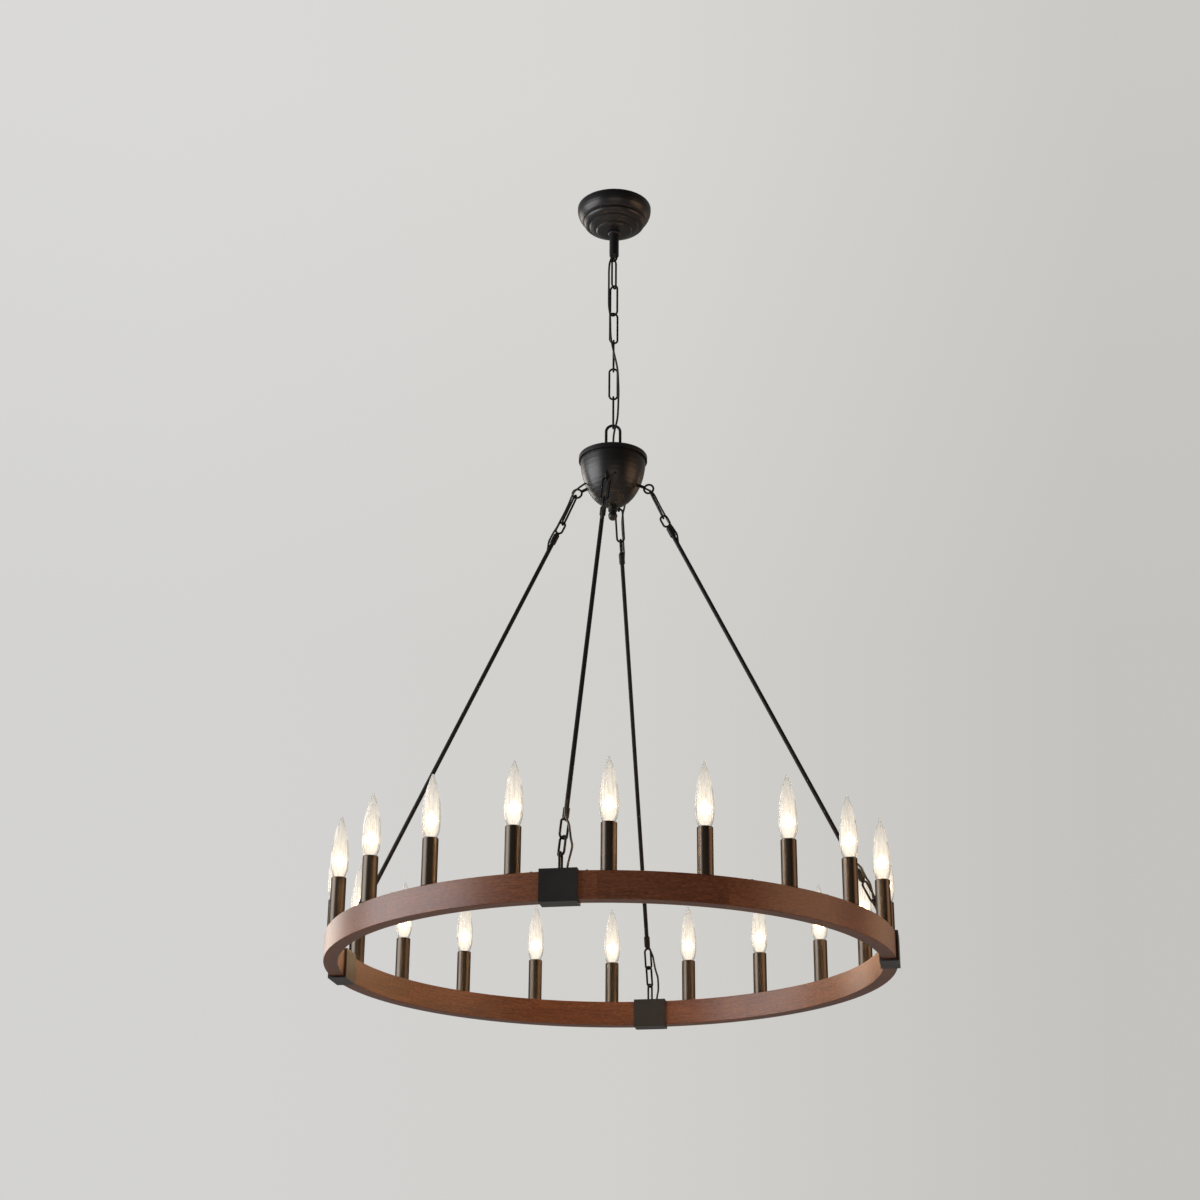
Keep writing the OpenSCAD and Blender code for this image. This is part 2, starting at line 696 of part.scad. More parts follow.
module candle_sleeves() {
    r = sleeve_d / 2;
    color(bronze) each_candle() translate([0, 0, rim_top]) rotate_extrude() polygon([
        [r - sleeve_wall, 0], [r, 0], [r, sleeve_h - 1], [r - 0.35, sleeve_h - 0.25],
        [r - 1, sleeve_h], [r - 2, sleeve_h], [r - 2, sleeve_h - 1], [r - sleeve_wall, sleeve_h - 1.6]
    ]);
}

// Flame tip glass: radius shares against height shares
glass_line = [
    [0.49, -0.05], [0.5, -0.01], [0.6, 0.008], [0.7, 0.03], [0.8, 0.06], [0.885, 0.1],
    [0.95, 0.15], [0.985, 0.21], [1, 0.29], [0.99, 0.37], [0.955, 0.45], [0.895, 0.53],
    [0.81, 0.61], [0.7, 0.69], [0.575, 0.77], [0.44, 0.84], [0.3, 0.905], [0.175, 0.955],
    [0.08, 0.987], [0, 1]
];
base_h = 24;

// Bulb on its own axis, z = 0 at the top of its sleeve
module bulb_shape() {
    base_top = -bulb_h * 0.05;
    wall = 0.8;
    n = len(glass_line) - 1;
    outer = [for (p = glass_line) [p.x * bulb_d / 2, p.y * bulb_h]];
    inner = [for (i = [n - 1:-1:0]) [max(outer[i].x - wall, 0), outer[i].y - (i > 12 ? wall : 0)]];
    rotate_extrude() polygon(concat(outer, [[0, bulb_h - 2 * wall]], inner));
    translate([0, 0, base_top - base_h]) rotate_extrude() polygon([
        [0, 0], [2.2, 0.3], [3, 1.4], [3, 2.4], [thread_r - 0.3, 4.6], [thread_r, 5.4],
        [thread_r, base_h - 0.6], [thread_r + 0.6, base_h - 0.02], [2, base_h - 0.02],
        [1.4, base_h + 22], [2.1, base_h + 25], [1.2, base_h + 28], [0.8, base_h + 62],
        [0, base_h + 63]
    ]);
}

module bulb(k) {
    color(glass) at_candle(k) translate([0, 0, sleeve_top]) bulb_shape();
}

crossbar();
ground_screw();
threaded_nipple();
nipple_nuts();
canopy();
collar();
collar_loop();
canopy_wire_caps();
chain_link_top();
chain_links();
chain_link_low();
feed_cord();
hub_shackle();
hub_cap();
cord_bush();
hub_bowl();
hub_stem();
finial();
hub_nuts();
hub_eyes();
hub_wire_caps();
stay_links();
stay_tubes();
stay_ends();
clamp_staples();
stay_leads();
rim_segment_a();
rim_segment_b();
rim_segment_c();
rim_segment_d();
rim_clamps();
groove_strips();
rim_wiring();
rim_screws();
socket_feet();
lamp_sockets();
socket_shells();
socket_contacts();
candle_sleeves();
bulb(0);  // bulb_01
bulb(1);  // bulb_02
bulb(2);  // bulb_03
bulb(3);  // bulb_04
bulb(4);  // bulb_05
bulb(5);  // bulb_06
bulb(6);  // bulb_07
bulb(7);  // bulb_08
bulb(8);  // bulb_09
bulb(9);  // bulb_10
bulb(10);  // bulb_11
bulb(11);  // bulb_12
bulb(12);  // bulb_13
bulb(13);  // bulb_14
bulb(14);  // bulb_15
bulb(15);  // bulb_16
bulb(16);  // bulb_17
bulb(17);  // bulb_18
bulb(18);  // bulb_19
bulb(19);  // bulb_20
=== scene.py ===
import json
from math import atan, cos, pi, radians, sin

import bpy
from mathutils import Matrix, Vector


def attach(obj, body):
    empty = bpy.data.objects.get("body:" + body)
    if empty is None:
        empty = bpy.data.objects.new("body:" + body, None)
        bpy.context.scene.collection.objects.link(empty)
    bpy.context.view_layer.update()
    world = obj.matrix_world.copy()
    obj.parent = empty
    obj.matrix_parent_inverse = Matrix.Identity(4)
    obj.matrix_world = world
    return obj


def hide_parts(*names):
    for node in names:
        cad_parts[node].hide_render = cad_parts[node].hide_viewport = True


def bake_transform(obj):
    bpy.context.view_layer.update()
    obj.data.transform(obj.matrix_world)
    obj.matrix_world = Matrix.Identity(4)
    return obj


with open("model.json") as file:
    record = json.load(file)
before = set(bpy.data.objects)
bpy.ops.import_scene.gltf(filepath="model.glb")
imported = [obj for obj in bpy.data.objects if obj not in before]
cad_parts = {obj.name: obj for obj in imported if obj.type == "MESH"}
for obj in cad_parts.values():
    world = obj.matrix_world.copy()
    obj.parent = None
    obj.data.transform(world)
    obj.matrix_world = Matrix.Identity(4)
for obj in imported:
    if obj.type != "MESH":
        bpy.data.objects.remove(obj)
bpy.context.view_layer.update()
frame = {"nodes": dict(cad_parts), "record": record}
scene = bpy.context.scene


# Camera: stands below the wheel and looks up at it

camera = {
    "turn": 9.39,        # degrees round the wheel from its front clamp
    "away": 3.7281,      # metres from the wheel's axis
    "height": -2.4,      # metres from the ceiling
    "yaw": -0.354,       # degrees, and so are pitch and roll
    "pitch": 22.452,
    "roll": 0.436,
    "lens": 64.466,      # mm on a 36 mm sensor
}


def makeCamera(c):
    yaw, pitch, roll = (radians(c[k]) for k in ("yaw", "pitch", "roll"))
    ahead = Vector((sin(yaw) * cos(pitch), cos(yaw) * cos(pitch), sin(pitch)))
    right = Vector((cos(yaw), -sin(yaw), 0))
    up = right.cross(ahead)
    side = right * cos(roll) + up * sin(roll)
    top = up * cos(roll) - right * sin(roll)
    turn = Matrix.Rotation(radians(c["turn"]), 4, "Z")
    pose = Matrix((side, top, -ahead)).transposed().to_4x4()
    pose.translation = Vector((0, -c["away"], c["height"]))
    data = bpy.data.cameras.new("camera")
    data.lens, data.sensor_width = c["lens"], 36
    data.clip_start, data.clip_end = 0.05, 60
    thing = bpy.data.objects.new("camera", data)
    scene.collection.objects.link(thing)
    thing.matrix_world = turn @ pose
    scene.camera = thing


makeCamera(camera)
print("camera made")


# Materials

class Wire:
    # a socket that can be added, multiplied and so on
    def __init__(self, sheet, socket):
        self.sheet, self.socket = sheet, socket

    def out(self, key):
        return Wire(self.sheet, self.socket.node.outputs[key])

    def sum(self, operation, a, b=0.0):
        return self.sheet.add("ShaderNodeMath", {"operation": operation}, {0: a, 1: b})

    def __add__(self, other):
        return self.sum("ADD", self, other)

    def __radd__(self, other):
        return self.sum("ADD", other, self)

    def __sub__(self, other):
        return self.sum("SUBTRACT", self, other)

    def __rsub__(self, other):
        return self.sum("SUBTRACT", other, self)

    def __mul__(self, other):
        return self.sum("MULTIPLY", self, other)

    def __rmul__(self, other):
        return self.sum("MULTIPLY", other, self)

    def __truediv__(self, other):
        return self.sum("DIVIDE", self, other)

    def __rtruediv__(self, other):
        return self.sum("DIVIDE", other, self)

    def power(self, exponent):
        return self.sum("POWER", self, exponent)

    def absolute(self):
        return self.sum("ABSOLUTE", self)

    def clamped(self):
        settings = {"operation": "ADD", "use_clamp": True}
        return self.sheet.add("ShaderNodeMath", settings, {0: self, 1: 0.0})


class Sheet:
    # a node tree and the ways to fill it
    def __init__(self, tree):
        self.tree = tree
        tree.nodes.clear()

    def put(self, socket, value):
        if isinstance(value, Wire):
            self.tree.links.new(value.socket, socket)
            return
        if socket.type == "RGBA":
            value = (*value, 1)
        socket.default_value = value

    def add(self, kind, settings=None, sockets=None, out=0):
        # a node of any type; settings go in before socket values and links
        node = self.tree.nodes.new(kind)
        for key, value in (settings or {}).items():
            if key == "stops":
                self.setStops(node.color_ramp, value)
            else:
                setattr(node, key, value)
        for key, value in (sockets or {}).items():
            self.put(node.inputs[key], value)
        return Wire(self, node.outputs[out]) if node.outputs else node

    def setStops(self, ramp, stops):
        while len(ramp.elements) > 1:
            ramp.elements.remove(ramp.elements[-1])
        for n, (place, colour) in enumerate(stops):
            element = ramp.elements[0] if n == 0 else ramp.elements.new(place)
            element.position = place
            element.color = (*colour, 1)

    def place(self):
        # the point on the object, in its own frame
        return self.add("ShaderNodeTexCoord", out="Object")

    def split(self, vector):
        parts = self.add("ShaderNodeSeparateXYZ", {}, {0: vector})
        return parts, parts.out(1), parts.out(2)

    def angle(self, x, y):
        return self.add("ShaderNodeMath", {"operation": "ARCTAN2"}, {0: y, 1: x})

    def noise(self, vector, scale, detail=3, rough=0.5, distortion=0.0):
        return self.add("ShaderNodeTexNoise", {}, {
            "Vector": vector, "Scale": scale, "Detail": detail, "Roughness": rough,
            "Distortion": distortion})

    def stretch(self, vector, by):
        return self.add("ShaderNodeVectorMath", {"operation": "MULTIPLY"}, {0: vector, 1: by})

    def ramp(self, factor, stops, kind="LINEAR"):
        node = self.add("ShaderNodeValToRGB", {"stops": stops}, {"Fac": factor})
        node.socket.node.color_ramp.interpolation = kind
        return node

    def range(self, value, low, high, to0=0.0, to1=1.0):
        return self.add("ShaderNodeMapRange", {}, {
            "Value": value, "From Min": low, "From Max": high, "To Min": to0, "To Max": to1})

    def mix(self, factor, a, b, blend="MIX"):
        return self.add("ShaderNodeMix", {"data_type": "RGBA", "blend_type": blend},
                        {0: factor, 6: a, 7: b}, 2)

    def bump(self, height, strength, distance):
        return self.add("ShaderNodeBump", {}, {
            "Strength": strength, "Distance": distance, "Height": height})


class Paint(Sheet):
    # one material with its shader
    def __init__(self, name):
        self.material = bpy.data.materials.new(name)
        self.material.use_nodes = True
        super().__init__(self.material.node_tree)
        self.shader = self.add("ShaderNodeBsdfPrincipled")
        self.end = self.add("ShaderNodeOutputMaterial", {}, {0: self.shader})

    def set(self, **values):
        # sockets of the shader, with spaces written as underscores
        for key, value in values.items():
            self.put(self.shader.socket.node.inputs[key.replace("_", " ")], value)


blackLook = {
    "dark": (0.006, 0.006, 0.0068), "light": (0.0095, 0.0095, 0.0102), "rub": (0.04, 0.038, 0.035),
    "worn": 0.25, "rough": 0.35, "bump": 0.018, "metallic": 0.0, "specular": 0.33,
    "peel": 900, "cloud": 22, "patch": 190,  # scales of the orange peel, clouds and rubbed spots
}
wireLook = dict(blackLook, rough=0.4, peel=500, bump=0.2, specular=0.12)
tubeLook = dict(blackLook, rough=0.42, specular=0.1)
clampLook = dict(blackLook, dark=(0.011, 0.0108, 0.0105), light=(0.016, 0.0155, 0.015), rough=0.42,
                 peel=1300)


def blackMetal(name, look):
    # satin powder coat with a fine orange peel and lighter rubbed patches
    s = Paint(name)
    where = s.place()
    peel = s.noise(where, look["peel"], 2)
    cloud = s.noise(where, look["cloud"], 4)
    rubbed = s.range(s.noise(where, look["patch"], 5, 0.6), 0.6, 0.78)
    colour = s.mix(cloud, look["dark"], look["light"])
    s.set(Base_Color=s.mix(rubbed * look["worn"], colour, look["rub"]),
          Metallic=look["metallic"],
          Roughness=s.range(cloud, 0.3, 0.7, look["rough"] - 0.04, look["rough"] + 0.05),
          Normal=s.bump(peel, look["bump"], 0.0004),
          Specular_IOR_Level=look["specular"])
    return s.material


sleeveLook = {
    "dark": (0.058, 0.051, 0.043), "light": (0.074, 0.062, 0.05), "edge": (0.1, 0.09, 0.08),
    "rough": 0.34, "metallic": 0.92, "bump": 0.03,
    "cloud": (60, 60, 9), "drawn": (900, 900, 12),  # scales of the clouds and of the drawing marks
}


def bronze(name, look):
    # smooth dark bronze of the candle sleeves, drawn lengthwise
    s = Paint(name)
    where = s.place()
    cloud = s.noise(s.stretch(where, look["cloud"]), 1, 3)
    drawn = s.noise(s.stretch(where, look["drawn"]), 1, 2)
    s.set(Base_Color=s.mix(cloud, look["dark"], look["light"]),
          Metallic=look["metallic"],
          Roughness=s.range(drawn, 0.3, 0.7, look["rough"] - 0.03, look["rough"] + 0.04),
          Normal=s.bump(drawn, look["bump"], 0.0001),
          Specular_Tint=look["edge"])
    return s.material


def plainMetal(name, colour, rough):
    # bare plated or drawn metal with fine scratches
    s = Paint(name)
    where = s.place()
    scratch = s.noise(s.stretch(where, (300, 300, 2400)), 1, 3)
    cloud = s.noise(where, 60, 3)
    s.set(Base_Color=s.mix(cloud, tuple(v * 0.8 for v in colour), colour),
          Metallic=1.0,
          Roughness=s.range(scratch, 0.3, 0.7, rough - 0.07, rough + 0.1),
          Normal=s.bump(scratch, 0.15, 0.0002))
    return s.material


def moulded(name, colour, rough, grain=0.1):
    # moulded resin, ceramic, rubber or cord covering
    s = Paint(name)
    where = s.place()
    cloud = s.noise(where, 90, 3)
    s.set(Base_Color=s.mix(cloud, tuple(v * 0.75 for v in colour), colour),
          Roughness=s.range(cloud, 0.3, 0.7, rough - 0.05, rough + 0.05),
          Normal=s.bump(s.noise(where, 1400, 2), grain, 0.0002))
    return s.material


woodLook = {
    "deep": (0.046, 0.0145, 0.0055),    # linear colours of the stain
    "mid": (0.113, 0.0345, 0.012),
    "pale": (0.188, 0.065, 0.0242),
    "pore": (0.022, 0.008, 0.004),
    "seams": (-127.0, -83.0, -60.0, 31.0, 66.0, 118.0, 151.0),  # butt joints of the staves, in degrees
    "staves": (0.5, 0.72, 0.38, 0.62, 0.46, 0.66, 0.34, 0.55),  # tones between those joints
    "radius": 0.49,
    # scales along the grain, across it and up
    "figure": (3.5, 26, 26), "fibre": (26, 420, 420),
    "fleck": (120, 360, 360), "pores": (90, 1100, 1100),
    "shares": (0.22, 0.34, 0.44, 0.07),  # of figure, fibre, fleck and stave in the tone
    "rough": 0.5, "coat": 0.4, "coatRough": 0.32, "specular": 0.15, "bump": 0.2,
}


def stainedWood(name, look):
    # grain that follows the bend of the rim, staves of slightly different tone
    s = Paint(name)
    x, y, z = s.split(s.place())
    angle = s.angle(x, y)
    out = (x * x + y * y).power(0.5)
    turn = angle * (180 / pi)
    starts = [-180, *look["seams"]]
    stops = [((a + 180) / 360, (tone,) * 3) for a, tone in zip(starts, look["staves"])]
    stave = s.ramp((turn + 180) / 360, stops, "CONSTANT")
    along = angle * look["radius"] + stave * 3  # each stave is cut from another part of the board
    board = s.add("ShaderNodeCombineXYZ", {}, {0: along, 1: out, 2: z + stave * 0.7})
    figure = s.noise(s.stretch(board, look["figure"]), 1, 4, 0.55, 0.8)
    fibre = s.noise(s.stretch(board, look["fibre"]), 1, 4, 0.6)
    fleck = s.noise(s.stretch(board, look["fleck"]), 1, 3, 0.65)
    pores = s.range(s.noise(s.stretch(board, look["pores"]), 1, 2), 0.58, 0.72)
    a, b, c, d = look["shares"]
    tone = figure * a + fibre * b + fleck * c + (stave - 0.5) * d
    colour = s.ramp(s.range(tone, 0.36, 0.64), [
        (0.0, look["deep"]), (0.5, look["mid"]), (1.0, look["pale"])])
    lines = 0.0
    for seam in look["seams"]:
        lines = s.range((turn - seam).absolute(), 0.02, 0.06, 1.0, 0.0) + lines
    colour = s.mix(pores * 0.5, colour, look["pore"])
    s.set(Base_Color=s.mix(lines * 0.3, colour, look["pore"]),
          Roughness=s.range(fibre, 0.3, 0.7, look["rough"] - 0.06, look["rough"] + 0.1),
          Normal=s.bump(fibre * 0.4 + fleck * 0.3 - pores * 0.5 - lines * 0.8, look["bump"], 0.0005),
          Specular_IOR_Level=look["specular"],
          Coat_Weight=look["coat"], Coat_Roughness=look["coatRough"])
    return s.material


glassLook = {
    "clear": (1.0, 0.99, 0.97), "smoky": (0.82, 0.77, 0.69), "edge": (0.5, 0.45, 0.37),
    "rough": 0.015, "bend": 1.3, "bump": 0.4,
    "ripple": (360, 360, 42), "streak": (620, 620, 38),  # scales, long upwards
}


def clearGlass(name, look):
    # shadow rays pass, so that the lamps light what is round them
    s = Paint(name)
    where = s.place()
    ripple = s.noise(s.stretch(where, look["ripple"]), 1, 3)
    streak = s.range(s.noise(s.stretch(where, look["streak"]), 1, 3), 0.5, 0.72)
    s.set(Base_Color=s.mix(streak, look["clear"], look["smoky"]), Roughness=look["rough"],
          IOR=look["bend"], Transmission_Weight=1.0, Specular_Tint=look["edge"],
          Normal=s.bump(ripple, look["bump"], 0.002))
    ray = s.add("ShaderNodeLightPath", out="Is Shadow Ray")
    clear = s.add("ShaderNodeBsdfTransparent")
    s.put(s.end.inputs[0], s.add("ShaderNodeMixShader", {}, {0: ray, 1: s.shader, 2: clear}))
    return s.material


def glow(name, shell):
    # one shell of the light round a filament, fading towards its ends, with soft upright streaks
    s = Paint(name)
    x, y, z = s.split(s.place())
    low, high = shell["low"] / 1000, shell["high"] / 1000
    fade = s.ramp((z - low) / (high - low), [(v, (f,) * 3) for v, f in shell["fade"]])
    flat = s.add("ShaderNodeCombineXYZ", {}, {0: s.angle(x, y) * 2.2, 1: z * 9})
    streak = s.noise(flat, 1.7, 3)
    fade = fade * s.range(streak, 0.3, 0.7, 1 - shell["streak"], 1 + shell["streak"])
    dim = tuple(v * 0.88 for v in shell["colour"])
    s.set(Base_Color=(0.0, 0.0, 0.0), Specular_IOR_Level=0.0, Roughness=1.0,
          Emission_Color=s.mix(fade.clamped(), dim, shell["colour"]),
          Emission_Strength=shell["strength"], Alpha=(fade * shell["alpha"]).clamped())
    return s.material


def hotWire(name):
    # filament, hotter in its middle
    s = Paint(name)
    height = s.split(s.place())[2]
    heat = s.range(s.noise(s.place(), 900, 2), 0.3, 0.7) * 0.4 + s.range(height, 0.01, 0.03)
    s.set(Base_Color=(1.0, 0.85, 0.6), Roughness=0.5,
          Emission_Color=s.mix(heat.clamped(), (1.0, 0.72, 0.4), (1.0, 0.93, 0.75)),
          Emission_Strength=1.6)
    return s.material


# Measures of a bulb in mm, its own zero at the top of its sleeve
bulb = {
    "circle": 488.5, "sleeveTop": -1438, "count": 20, "height": 110, "width": 31,
    "outline": [  # half widths and heights, as shares of the whole
        (0.49, -0.05), (0.5, -0.01), (0.6, 0.008), (0.7, 0.03), (0.8, 0.06), (0.885, 0.1),
        (0.95, 0.15), (0.985, 0.21), (1, 0.29), (0.99, 0.37), (0.955, 0.45), (0.895, 0.53),
        (0.81, 0.61), (0.7, 0.69), (0.575, 0.77), (0.44, 0.84), (0.3, 0.905), (0.175, 0.955),
        (0.08, 0.987)],
    "flutes": 15, "fluteDepth": 0.42, "fluteTwist": 22, "wall": 1.0, "rings": 72, "sides": 90,
    "tip": [(0, -29.5), (1.6, -29.4), (2.6, -28.9), (3.0, -28.1), (3.0, -27.2), (5.2, -25.4),
            (6.3, -24.9)],
    "thread": {"turns": 6, "low": -24.6, "high": -8.4, "radius": 6.55, "depth": 0.35},
    "collar": [(6.9, -7.6), (6.9, -6.2), (7.3, -5.7), (7.3, -5.55), (0, -5.55)],
    "mount": [(0, -5.4), (5.2, -5.4), (5.4, -4), (3.2, 2), (1.9, 9), (1.5, 14), (2.2, 16.5),
              (1.2, 18.5), (0, 19)],
    "strands": {"count": 4, "low": (2.6, 13), "high": (4.2, 43), "top": 47, "turn": 0.4, "lean": 0.5,
                "radius": 0.9, "thin": 0.3},
    # the light round the filament, each fade from the shell's low end to its high end
    "shells": [
        {"radius": 13.9, "low": 2, "high": 103, "alpha": 0.56, "streak": 0.85, "strength": 1.24,
         "colour": (1.0, 0.89, 0.75),
         "fade": [(0, 0.7), (0.12, 0.9), (0.3, 1), (0.5, 0.7), (0.75, 0.34), (1, 0.1)]},
        {"radius": 9.6, "low": 4, "high": 76, "alpha": 0.4, "streak": 0.4, "strength": 1.08,
         "colour": (1.0, 0.94, 0.78),
         "fade": [(0, 0.5), (0.2, 1), (0.5, 0.9), (0.75, 0.3), (1, 0)]},
        {"radius": 5.2, "low": 7, "high": 48, "alpha": 0.55, "streak": 0.12, "strength": 1.02,
         "colour": (1.0, 1.0, 0.9),
         "fade": [(0, 0.5), (0.2, 1), (0.6, 1), (0.82, 0.35), (1, 0)]}],
    "lamp": {"power": 0.58, "colour": (1.0, 0.57, 0.24), "radius": 12, "up": 30},
}

metals = {
    "black_metal": blackMetal("satinBlack", blackLook),
    "sleeve_bronze": bronze("darkSleeve", sleeveLook),
    "bracket_steel": plainMetal("zincSteel", (0.6, 0.6, 0.58), 0.34),
    "socket_brass": plainMetal("drawnBrass", (0.78, 0.58, 0.26), 0.3),
    "ground_green": moulded("greenPaint", (0.05, 0.2, 0.07), 0.4),
    "wire_cap_resin": moulded("capResin", (0.55, 0.5, 0.42), 0.45),
    "bush_rubber": moulded("bushRubber", (0.02, 0.02, 0.02), 0.6),
    "socket_resin": moulded("socketResin", (0.7, 0.67, 0.6), 0.4),
    "cord_sheath": moulded("cordSheath", (0.009, 0.0088, 0.0085), 0.5, 0.2),
    "rim_wood": stainedWood("rimWood", woodLook),
    "strip_wood": stainedWood("stripWood", dict(woodLook, mid=(0.12, 0.042, 0.017))),
}
wireMetal = blackMetal("wireBlack", wireLook)
clampMetal = blackMetal("clampBlack", clampLook)
tubeMetal = blackMetal("tubeBlack", tubeLook)
glassClear = clearGlass("bulbGlass", glassLook)
print("materials made")


# The frame's own solids get their finishes

finishOf = dict.fromkeys(
    ("chain_link_top", "chain_links", "chain_link_low", "collar_loop", "hub_shackle", "hub_eyes",
     "stay_links", "stay_ends", "clamp_staples"), wireMetal)
finishOf["rim_clamps"], finishOf["stay_tubes"] = clampMetal, tubeMetal
slots = {part["node"]: part["material_slot"] for part in frame["record"]["subparts"]}
for name, thing in frame["nodes"].items():
    finish = finishOf.get(name, metals.get(slots[name]))
    if finish:
        thing.data.materials.clear()
        thing.data.materials.append(finish)
print("solids finished")


# Shared shape makers

def newMesh(name, points, faces, material, smooth=True):
    data = bpy.data.meshes.new(name)
    data.from_pydata(points, [], faces)
    data.validate()
    data.materials.append(material)
    for face in data.polygons:
        face.use_smooth = smooth
    return data


def newPiece(name, data, body):
    thing = bpy.data.objects.new(name, data)
    scene.collection.objects.link(thing)
    if body:
        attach(thing, body)
    return thing


def curveThrough(points, steps):
    # smooth line through the points, with so many steps between two of them
    p = [Vector(q) for q in points]
    line = []
    for i in range(len(p) - 1):
        a, b, c, d = p[max(i - 1, 0)], p[i], p[i + 1], p[min(i + 2, len(p) - 1)]
        for k in range(steps):
            t = k / steps
            line.append(0.5 * (2 * b + (c - a) * t + (2 * a - 5 * b + 4 * c - d) * t * t
                               + (3 * b - a - 3 * c + d) * t ** 3))
    return line + [p[-1]]


def sweep(line, radius, sides):
    # points and faces of a tube along a line, its ends closed
    n = len(line)
    ways = [(line[min(i + 1, n - 1)] - line[max(i - 1, 0)]).normalized() for i in range(n)]
    u = ways[0].orthogonal().normalized()
    points, faces = [], []
    for i in range(n):
        u = (u - ways[i] * u.dot(ways[i])).normalized()
        v = ways[i].cross(u)
        for k in range(sides):
            a = 2 * pi * k / sides
            points.append(line[i] + radius * (cos(a) * u + sin(a) * v))
    for i in range(n - 1):
        for k in range(sides):
            a, b = i * sides + k, i * sides + (k + 1) % sides
            faces.append((a, b, b + sides, a + sides))
    faces.append(tuple(range(sides - 1, -1, -1)))
    faces.append(tuple(range((n - 1) * sides, n * sides)))
    return points, faces


def lathe(profile, sides, radiusAt=None):
    # turned shape: profile of (radius, height) in metres, poles where the radius is 0
    points, faces, rows = [], [], []
    for r, h in profile:
        if r <= 0:
            rows.append([len(points)])
            points.append((0, 0, h))
        else:
            row = []
            for k in range(sides):
                a = 2 * pi * k / sides
                q = radiusAt(r, h, a) if radiusAt else r
                row.append(len(points))
                points.append((q * cos(a), q * sin(a), h))
            rows.append(row)
    for low, high in zip(rows, rows[1:]):
        for k in range(sides):
            m = (k + 1) % sides
            if len(low) == 1:
                faces.append((low[0], high[m], high[k]))
            elif len(high) == 1:
                faces.append((low[k], low[m], high[0]))
            else:
                faces.append((low[k], low[m], high[m], high[k]))
    return points, faces


def joined(parts):
    # several lists of points and faces as one
    points, faces = [], []
    for p, f in parts:
        faces += [tuple(v + len(points) for v in face) for face in f]
        points += p
    return points, faces


# Bulbs

def inMetres(rows):
    return [(r / 1000, h / 1000) for r, h in rows]


def smoothProfile(outline, rings):
    # smooth outline with its rows evenly spaced
    flat = curveThrough([(r, 0, h) for r, h in outline], 8)
    size = [0.0]
    for a, b in zip(flat, flat[1:]):
        size.append(size[-1] + (b - a).length)
    result, i = [], 0
    for k in range(rings):
        want = size[-1] * k / (rings - 1)
        while i < len(flat) - 2 and size[i + 1] < want:
            i += 1
        t = (want - size[i]) / max(size[i + 1] - size[i], 1e-9)
        q = flat[i].lerp(flat[i + 1], min(t, 1))
        result.append((q.x, q.z))
    return inMetres(result)


def glassShape(b):
    # a wall with a fluted outside and a plain inside, open at the bottom
    outline = [(r * b["width"] / 2, h * b["height"]) for r, h in b["outline"]]
    outside = smoothProfile(outline, b["rings"])

    def fluted(r, h, a):
        # the flutes die away at the neck and at the tip
        share = min(max((h - 0.004) / 0.03, 0), 1) * min(max((0.108 - h) / 0.012, 0), 1)
        wave = cos(b["flutes"] * a + b["fluteTwist"] * h) - 1
        return r + share * b["fluteDepth"] / 1000 * wave

    wall = b["wall"] / 1000
    inside = [(r - wall, h) for r, h in outside if r > wall + 0.0008]
    tip = (0, outside[-1][1] + 0.0006)
    innerTip = (0, inside[-1][1] + 0.0008)
    shell = lathe(outside + [tip], b["sides"], fluted)
    core = lathe([innerTip] + inside[::-1], b["sides"])
    points, faces = joined([shell, core])
    n = len(points)
    for k in range(b["sides"]):  # close the bottom edge
        m = (k + 1) % b["sides"]
        faces.append((n - b["sides"] + k, n - b["sides"] + m, m, k))
    return points, faces


def baseShape(b):
    # screw shell with a rolled thread, insulator and contact
    t = b["thread"]
    perTurn = 8
    steps = t["turns"] * perTurn
    thread = []
    for k in range(steps + 1):
        r = t["radius"] + t["depth"] * cos(2 * pi * k / perTurn)
        thread.append((r, t["low"] + (t["high"] - t["low"]) * k / steps))
    return lathe(inMetres(b["tip"] + thread + b["collar"]), 48)


def strandShape(d):
    # bright strands standing round the mount, tied together at the top
    (lowR, low), (highR, high) = inMetres([d["low"], d["high"]])
    top = Vector((0, 0, d["top"] / 1000))
    strands, ties = [], []
    for k in range(d["count"]):
        a = 2 * pi * k / d["count"] + d["turn"]
        foot = Vector((lowR * cos(a), lowR * sin(a), low))
        head = Vector((highR * cos(a + d["lean"]), highR * sin(a + d["lean"]), high))
        line = [foot.lerp(head, t / 6) for t in range(7)]
        strands.append(sweep(line, d["radius"] / 1000, 10))
        ties.append(sweep([head, top], d["thin"] / 1000, 6))
    return joined(strands + ties)


def glowShape(shell):
    # egg shape, widest a third of the way up
    steps, low, high = 26, shell["low"], shell["high"]
    rows = [(0, low)]
    for k in range(1, steps):
        t = k / steps
        rows.append((shell["radius"] * sin(pi * t ** 0.7) ** 0.6, low + (high - low) * t))
    return lathe(inMetres(rows + [(0, high)]), 28)


def glowMesh(b):
    # the shells in one mesh, each with its own paint
    shapes = [glowShape(shell) for shell in b["shells"]]
    paints = [glow("glow%d" % n, shell) for n, shell in enumerate(b["shells"])]
    data = newMesh("glow", *joined(shapes), paints[0])
    for paint in paints[1:]:
        data.materials.append(paint)
    owner = [n for n, (points, faces) in enumerate(shapes) for face in faces]
    for face, n in zip(data.polygons, owner):
        face.material_index = n
    return data


